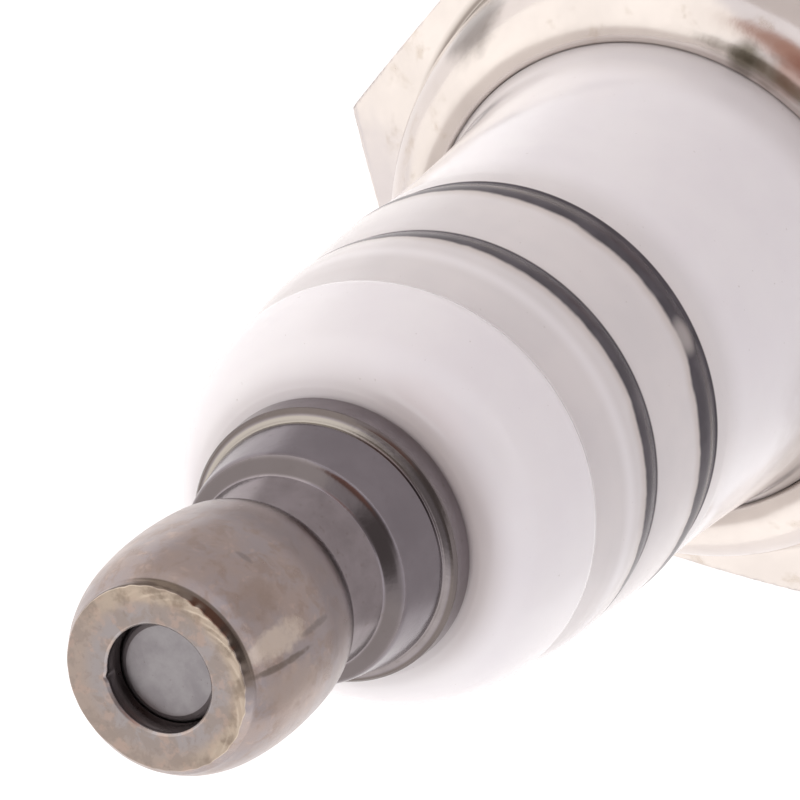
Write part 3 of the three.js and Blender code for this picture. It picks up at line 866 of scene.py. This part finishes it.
def build_stud(material):
    """M4 stud: knurled tail in the seal, plain middle in the ceramic, thread and chamfered end."""
    thread_low = CERAMIC_TOP + 0.4
    rings = [
        [(1.5, z - 0.02), (1.7, z), (1.7, z + 0.4), (1.5, z + 0.5)]
        for z in (STUD_TAIL + 0.3, STUD_TAIL + 1.1, STUD_TAIL + 1.9)
    ]
    threaded = [
        (1.57, thread_low), (STUD_BLANK_R, thread_low + 0.3), (STUD_BLANK_R, STUD_END - 0.9),
    ]
    end = [
        (STUD_BLANK_R, STUD_END - (STUD_BLANK_R - STUD_FACE_R), 0),
        (STUD_FACE_R + 0.02, STUD_END - 0.06, 0.03),
        (STUD_FACE_R - 0.09, STUD_END, 0.03),
        (0, STUD_END, 0),
    ]
    outline = joined(
        [(0, STUD_TAIL), (1.5, STUD_TAIL)],
        *rings,
        [(1.9, STUD_TAIL + 3), (1.9, thread_low - 0.3)],
        densified(threaded, 0.045),
        densified(rounded(end, 4), 0.1),
    )

    def shape(angle, r, z):
        form = thread_radius(STUD_THREAD, angle, z)
        cut = soft_min(r, form, 0.03)
        return np.where((z > thread_low) & (z < STUD_END - 0.001), cut, r), z

    solid = turned(outline, 128, shape)
    add_piece("terminal_stud_threaded", solid, "plug", "plain_steel", material, "terminal_stud")


def build_insulator(material):
    """Glazed dome, two ribs and body, whose heights count from the top; then collar and nose."""
    top = CERAMIC_TOP
    stretches = (
        # Domed shoulder and its lower edge.
        ([(4.02, -0.005), (4.45, -0.17), (4.93, -0.60), (5.37, -1.28), (5.68, -2.15), (5.84, -3.02)], 30),
        ([(5.84, -3.02), (5.865, -3.22), (5.82, -3.44), (5.71, -3.64)], 16),
        # First dip and rib.
        ([(5.71, -3.64), (5.63, -3.82), (5.64, -3.98), (5.73, -4.20), (5.92, -4.60)], 18),
        ([(5.92, -4.60), (6.06, -5.12), (6.125, -5.70), (6.12, -6.35), (6.03, -6.80)], 18),
        # Second dip and rib.
        ([(6.03, -6.80), (6.00, -6.94), (6.05, -7.08), (6.12, -7.40)], 12),
        ([(6.12, -7.40), (6.22, -8.20), (6.28, -9.20), (6.29, -9.80), (6.20, -10.24)], 20),
        # Third dip, and the body down to the crimp.
        ([(6.20, -10.24), (6.15, -10.45), (6.18, -10.66), (6.22, -11.10)], 12),
        ([(6.22, -11.10), (6.22, -12.0), (6.30, -14.4), (6.48, -17.2), (6.70, -19.2), (6.90, -19.9)], 30),
    )
    in_crimp = [(7.02, -20.2), (7.038, -20.38), (7.038, -20.72), (6.90, -20.95)]
    in_crimp.append((CERAMIC_BODY_R, -BODY_LENGTH))
    above = joined(*[spline(knots, count) for knots, count in stretches], in_crimp)[::-1]
    above[:, 1] += top
    below = [
        (CERAMIC_TIP_BORE_R, CERAMIC_TIP, 0), (2.30, CERAMIC_TIP, 0.25),
        (2.55, CERAMIC_TIP + 0.5, 0.4), (NOSE_ROOT_R, -5.8, 0.2), (NOSE_ROOT_R, -5.5, 0.1),
        (CERAMIC_MIDDLE_R, -4.6, 0.2), (CERAMIC_MIDDLE_R, 7.1, 0.3), (CERAMIC_COLLAR_R, 10.2, 0.3),
        (CERAMIC_COLLAR_R, 16.25, 0.2), (CERAMIC_BODY_R, 17.3, 0.2),
        (CERAMIC_BODY_R, top - BODY_LENGTH, 0),
    ]
    bore = [(CERAMIC_BORE_R, top), (CERAMIC_BORE_R, BORE_STEP), (CERAMIC_TIP_BORE_R, BORE_STEP)]
    outline = joined(densified(rounded(below), 0.6), above, bore)
    solid = turned(outline, 224)
    add_piece("insulator_glazed", solid, "plug", "glazed_alumina", material, "insulator")


def shell_outline():
    """Half section of the shell, with plain blanks where the thread and the hexagon are cut."""
    end = SHELL_END
    thread = [
        (SHELL_FOOT_R, end), (THREAD_BLANK_R, end + 0.95), (THREAD_BLANK_R, SEAT - 2.0),
        (NECK_R, SEAT - 1.2),
    ]
    flange = [
        (NECK_R, SEAT - 1.2, 0), (NECK_R, SEAT, 0.12), (FLANGE_R, SEAT, 0.18),
        (FLANGE_R, FLANGE_TOP - 0.05, 0.28), (GROOVE_R, FLANGE_TOP + 0.08, 0.22),
        (GROOVE_R, FLANGE_TOP + 0.5, 0),
    ]
    middle = (FLANGE_TOP + HEX_LOW) / 2
    groove = [
        (GROOVE_R, FLANGE_TOP + 0.5), (GROOVE_R + 0.11, middle - 0.6), (GROOVE_R + 0.14, middle),
        (GROOVE_R + 0.11, middle + 0.6), (GROOVE_R, HEX_LOW - 0.5),
    ]
    hex_foot = [(GROOVE_R, HEX_LOW - 0.5, 0), (GROOVE_R + 0.02, HEX_LOW, 0.2), (10.1, HEX_LOW, 0)]
    low_rows = np.linspace(HEX_LOW, HEX_LOW + 1.5, 26)
    middle_rows = np.linspace(HEX_LOW + 1.5, HEX_TOP - 1.5, 24)[1:-1]
    high_rows = np.linspace(HEX_TOP - 1.5, HEX_TOP, 26)
    heights = np.concatenate([low_rows, middle_rows, high_rows])
    shoulder = [(9.5, HEX_TOP, 0), (9.38, HEX_TOP + 0.02, 0.2), (9.28, HEX_TOP + 0.6, 0)]
    crimp = [
        (9.28, HEX_TOP + 0.6), (9.16, HEX_TOP + 1.5), (8.86, CRIMP_TOP - 1.22),
        (8.42, CRIMP_TOP - 0.56), (7.95, CRIMP_TOP - 0.20), (7.60, CRIMP_TOP - 0.055),
        (7.32, CRIMP_TOP), (7.13, CRIMP_TOP - 0.02), (7.06, CRIMP_TOP - 0.07),
        (CRIMP_LIP_R, CRIMP_TOP - 0.16), (7.12, CRIMP_TOP - 0.60),
    ]
    inside = [
        (SHELL_COLLAR_BORE_R, CRIMP_TOP - 1.6), (SHELL_COLLAR_BORE_R, 9.6),
        (SHELL_BODY_BORE_R, 6.5), (SHELL_BODY_BORE_R, -5.016), (SHELL_THROAT_R, -5.816),
        (SHELL_THROAT_R, -7.6), (SHELL_NOSE_BORE_R, -8.2), (SHELL_NOSE_BORE_R, end + 0.3),
        (SHELL_NOSE_BORE_R + 0.2, end),
    ]
    return joined(
        densified(thread, 0.07),
        rounded(flange, 7),
        spline(groove, 18),
        rounded(hex_foot, 6),
        [(HEX_BLANK_R, z) for z in heights],
        rounded(shoulder, 7),
        spline(crimp, 44),
        inside,
    )


def build_shell(material):
    """Shell with its thread, seat flange, shrink groove, hexagon and rolled crimp."""

    def shape(angle, r, z):
        """Thread below the seat, hexagon between its two ends, and a hand-rolled crimp lip."""
        threaded = (r > 5.0) & (z < SEAT - 1.15)
        form = thread_radius(PLUG_THREAD, angle, z, SHELL_END)
        worn = waves(angle, range(3, 12), 0.004, 3)
        r = np.where(threaded, soft_min(r, form + worn, 0.06), r)
        r = np.where(r > HEX_BLANK_R - 0.5, hex_radius(angle, z), r)
        lip = bell(z, CRIMP_TOP - 0.2, 0.25) * (r < 7.6)
        return r + lip * np.abs(waves(angle, range(2, 16), 0.005, 8)), z

    solid = turned(shell_outline(), 360, shape)
    add_piece("shell_plated", solid, "plug", "nickel_plate", material, "shell")


def build_gasket(material):
    """Ring folded from sheet, open towards the plug, with a captive upper lip."""
    high = GASKET_HIGH
    sheet, edge = 0.6, 0.12
    lower_r, captive_r = 7.25, 6.7
    round_r = high / 2
    centre = (GASKET_R - round_r, round_r)
    outer = arc(centre, round_r, -90, 90, 22)
    outline = joined(
        [(lower_r + edge, 0)],
        densified([(lower_r + edge, 0), outer[0]], 0.5),
        outer,
        densified([outer[-1], (captive_r + edge, high)], 0.5),
        arc((captive_r + edge, high - edge), edge, 90, 180, 5),
        arc((captive_r + edge, high - sheet + edge), edge, 180, 270, 5),
        arc(centre, round_r - sheet, 90, -90, 12),
        arc((lower_r + edge, sheet - edge), edge, 90, 180, 5),
        arc((lower_r + edge, edge), edge, 180, 270, 5)[:-1],
    )

    def shape(angle, r, z):
        """The captive lip is pressed in at three places."""
        lip = np.clip((7.6 - r) / 0.9, 0, 1) * (z > high / 2)
        return r - lip * 0.10 * np.clip(np.cos(3 * angle), 0, 1) ** 4, z

    solid = turned(outline, 192, shape)
    add_piece("gasket_folded", solid, "gasket", "nickel_plate", material, "gasket")


def build_centre_electrode(material):
    """Nickel sheath with a head, hollow where the copper core lies."""
    head_low = ELECTRODE_HEAD - 0.98
    tip = [(0, ELECTRODE_TIP, 0), (ELECTRODE_R, ELECTRODE_TIP, 0.1), (ELECTRODE_R, -15.0, 0)]
    outline = joined(
        densified(rounded(tip, 6), 0.3),
        [(ELECTRODE_R, head_low), (ELECTRODE_HEAD_R, head_low), (ELECTRODE_HEAD_R, ELECTRODE_HEAD)],
        [(ELECTRODE_BORE_R, ELECTRODE_HEAD), (ELECTRODE_BORE_R, ELECTRODE_BORE_LOW)],
        [(0, ELECTRODE_BORE_LOW)],
    )
    solid = turned(outline, 96)
    add_piece("centre_electrode_drawn", solid, "plug", "nickel_alloy", material, "centre_electrode")


def rounded_section(half_wide, half_thick, corner, steps=6):
    """Outline of a bar with rounded corners, anticlockwise."""
    points = []
    for quarter, (sx, sy) in enumerate([(1, -1), (1, 1), (-1, 1), (-1, -1)]):
        centre = (sx * (half_wide - corner), sy * (half_thick - corner))
        start = quarter * 90 - 90
        points.extend(arc(centre, corner, start, start + 90, steps).tolist())
    return np.array(points)


def build_ground_electrode(material):
    """Rounded strap swept along a J, with a slightly domed free end."""
    half_thick = STRAP_THICKNESS / 2
    bend_r, arm_end = 1.3, -1.1
    centre_x = STRAP_OUTER_R - half_thick
    bend = (STRAP_OUTER_R - STRAP_THICKNESS - bend_r, ARM_LOW + STRAP_THICKNESS + bend_r)
    root = np.array([(centre_x, z) for z in np.linspace(SHELL_END - 0.02, bend[1], 14)])
    curve = arc(bend, bend_r + half_thick, 0, -90, 16)
    arm = np.array([(x, ARM_LOW + half_thick) for x in np.linspace(bend[0], arm_end + 0.12, 18)])
    path = joined(root, curve, arm)
    section = rounded_section(STRAP_WIDTH / 2, half_thick, 0.28)
    ahead = np.gradient(path, axis=0)
    ahead /= np.linalg.norm(ahead, axis=1)[:, None]
    side = np.stack([-ahead[:, 1], ahead[:, 0]], 1)
    stations = [(point, across, 1.0) for point, across in zip(path, side)]
    for inset, scale in ((0.05, 0.985), (0.10, 0.93), (0.12, 0.80)):
        stations.append((path[-1] + ahead[-1] * inset, side[-1], scale))
    vertices = []
    for point, across, scale in stations:
        for wide, thin in section * scale:
            x, z = point + across * thin
            vertices.append((x, wide, z))
    count = len(section)
    faces = ring_faces(len(stations), count)
    faces.append(tuple(reversed(range(count))))
    last = (len(stations) - 1) * count
    faces.append(tuple(last + i for i in range(count)))
    solid = (vertices, faces)
    add_piece("ground_electrode_strap", solid, "plug", "nickel_alloy", material, "ground_electrode")


def build_weld(material):
    """Flash squeezed out all round the strap where it meets the shell's end face."""
    random = np.random.default_rng(21)
    around = 72
    furthest_x = 6.02
    centre_x = STRAP_OUTER_R - STRAP_THICKNESS / 2
    # Steps of the flash: distance out from the strap, and height from the shell's end face.
    profile = [(0.0, 0.03), (0.13, 0.02), (0.22, -0.05), (0.20, -0.15), (0.10, -0.24), (-0.02, -0.30)]
    angles = np.linspace(0, 2 * math.pi, around, endpoint=False)
    lumps = waves(angles, range(3, 14), 0.03, 17)
    base = rounded_section(STRAP_WIDTH / 2, STRAP_THICKNESS / 2, 0.25, around // 4)
    normals = base / np.linalg.norm(base, axis=1)[:, None]
    vertices, faces = [], []
    for i in range(around):
        swell = 1 + lumps[i] * 3 + random.normal() * 0.03
        for out, drop in profile:
            wide, thin = base[i] + normals[i] * (out * swell - 0.02)
            vertices.append((min(centre_x + thin, furthest_x), wide, SHELL_END + drop * swell))
    rows = len(profile)
    for i in range(around):
        j = (i + 1) % around
        for k in range(rows - 1):
            faces.append((i * rows + k, i * rows + k + 1, j * rows + k + 1, j * rows + k))
    faces.append(tuple(i * rows for i in range(around)))
    faces.append(tuple(reversed([i * rows + rows - 1 for i in range(around)])))
    add_piece("ground_electrode_weld", (vertices, faces), "plug", "nickel_alloy", material)


def finish_inner_nodes():
    """Materials for the CAD solids that stay as they are inside the plug. Each is a light and a
    dark tone, how metallic and how rough it is, and the scale and depth of its grain."""
    recipes = {
        "seal_glass": ((0.13, 0.10, 0.085), (0.07, 0.05, 0.045), 0.3, 0.42, 3.0, 0.02),
        "resistor_glass": ((0.035, 0.035, 0.04), (0.015, 0.015, 0.018), 0.0, 0.7, 4.0, 0.03),
        "copper": ((0.72, 0.36, 0.22), (0.55, 0.26, 0.15), 1.0, 0.32, 2.0, 0.01),
        "packing_wire": ((0.42, 0.42, 0.43), (0.30, 0.30, 0.31), 1.0, 0.4, 4.0, 0.01),
        "talc": ((0.72, 0.69, 0.62), (0.60, 0.57, 0.50), 0.0, 0.92, 7.0, 0.04),
    }
    nodes = {
        "seal_glass": ("upper_glass_seal", "lower_glass_seal"),
        "resistor_glass": ("resistor",),
        "copper": ("copper_core", "seat_washer"),
        "packing_wire": ("upper_packing_ring", "lower_packing_ring"),
        "talc": ("talc_ring",),
    }
    for name, recipe in recipes.items():
        material = inner_material(name, *recipe)
        for node in nodes[name]:
            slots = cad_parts[node].data.materials
            slots.clear()
            slots.append(material)


# ---- Stage ----


def build_camera():
    """Long macro view down onto the terminal, rolled so that the plug points to lower left."""
    back = direction(CAMERA_AZIMUTH, CAMERA_ELEVATION)
    camera = bpy.data.cameras.new("camera")
    camera.sensor_width = 36
    camera.lens = CAMERA_LENS
    camera.clip_start, camera.clip_end = 0.01, 10
    holder = bpy.data.objects.new("camera", camera)
    bpy.context.scene.collection.objects.link(holder)
    upright = (-back).to_track_quat("-Z", "Y").to_matrix()
    roll = Matrix.Rotation(math.radians(CAMERA_ROLL), 3, "Z")
    place = Vector(CAMERA_AIM) * MM + back * CAMERA_DISTANCE * MM
    holder.matrix_world = Matrix.Translation(place) @ (upright @ roll).to_4x4()
    bpy.context.scene.camera = holder


def build_floor():
    """Pale floor 3 m wide, which glows beyond the plug, where the photograph is white."""
    size = 1.5
    level = cad_low.z - 0.2 * MM
    mesh = bpy.data.meshes.new("floor")
    corners = [(-size, -size, level), (size, -size, level), (size, size, level), (-size, size, level)]
    mesh.from_pydata(corners, [], [(0, 1, 2, 3)])
    g = material_graph("pale_floor")
    place = g.millimetres()
    tone = g.mix(g.noise(place, 0.02, 2.0), (0.76, 0.75, 0.76), (0.80, 0.79, 0.80))
    x, y, *_ = g.polar(place)
    beyond = g.along(x, y, CAMERA_AZIMUTH + 180)
    glow = g.step(beyond, -5.0, 20.0, 0.0, 0.40)
    lamp = (1.0, 0.99, 0.98)
    material = g.surface(Base_Color=tone, Roughness=0.6, Emission_Color=lamp, Emission_Strength=glow)
    mesh.materials.append(material)
    floor = bpy.data.objects.new("floor", mesh)
    bpy.context.scene.collection.objects.link(floor)


def build_world():
    """Studio of soft white walls, with the dimmer and brighter areas that the plug reflects."""
    world = bpy.data.worlds.new("studio")
    bpy.context.scene.world = world
    g = Graph(world)
    looking = g.add("ShaderNodeTexCoord").outputs["Generated"]
    colour = WALLS
    for azimuth, elevation, core, reach, light in STUDIO:
        values = {0: looking, 1: tuple(direction(azimuth, elevation))}
        facing = g.add("ShaderNodeVectorMath", values, operation="DOT_PRODUCT").outputs["Value"]
        edge, full = [math.cos(math.radians(angle)) for angle in (reach, core)]
        colour = g.mix(g.step(facing, edge, full), colour, light)
    background = g.add("ShaderNodeBackground", {"Color": colour, "Strength": 1.0})
    g.add("ShaderNodeOutputWorld", {"Surface": background.outputs[0]})


def build_stage():
    build_camera()
    build_floor()
    build_world()
    view = bpy.context.scene.view_settings
    view.view_transform = "Standard"
    view.look = "None"


build_stage()
build_nut(terminal_material())
build_stud(stud_material())
build_insulator(glaze_material())
build_shell(plate_material())
build_gasket(gasket_material())
alloy = nickel_alloy_material()
build_centre_electrode(alloy)
build_ground_electrode(alloy)
build_weld(weld_material())
finish_inner_nodes()
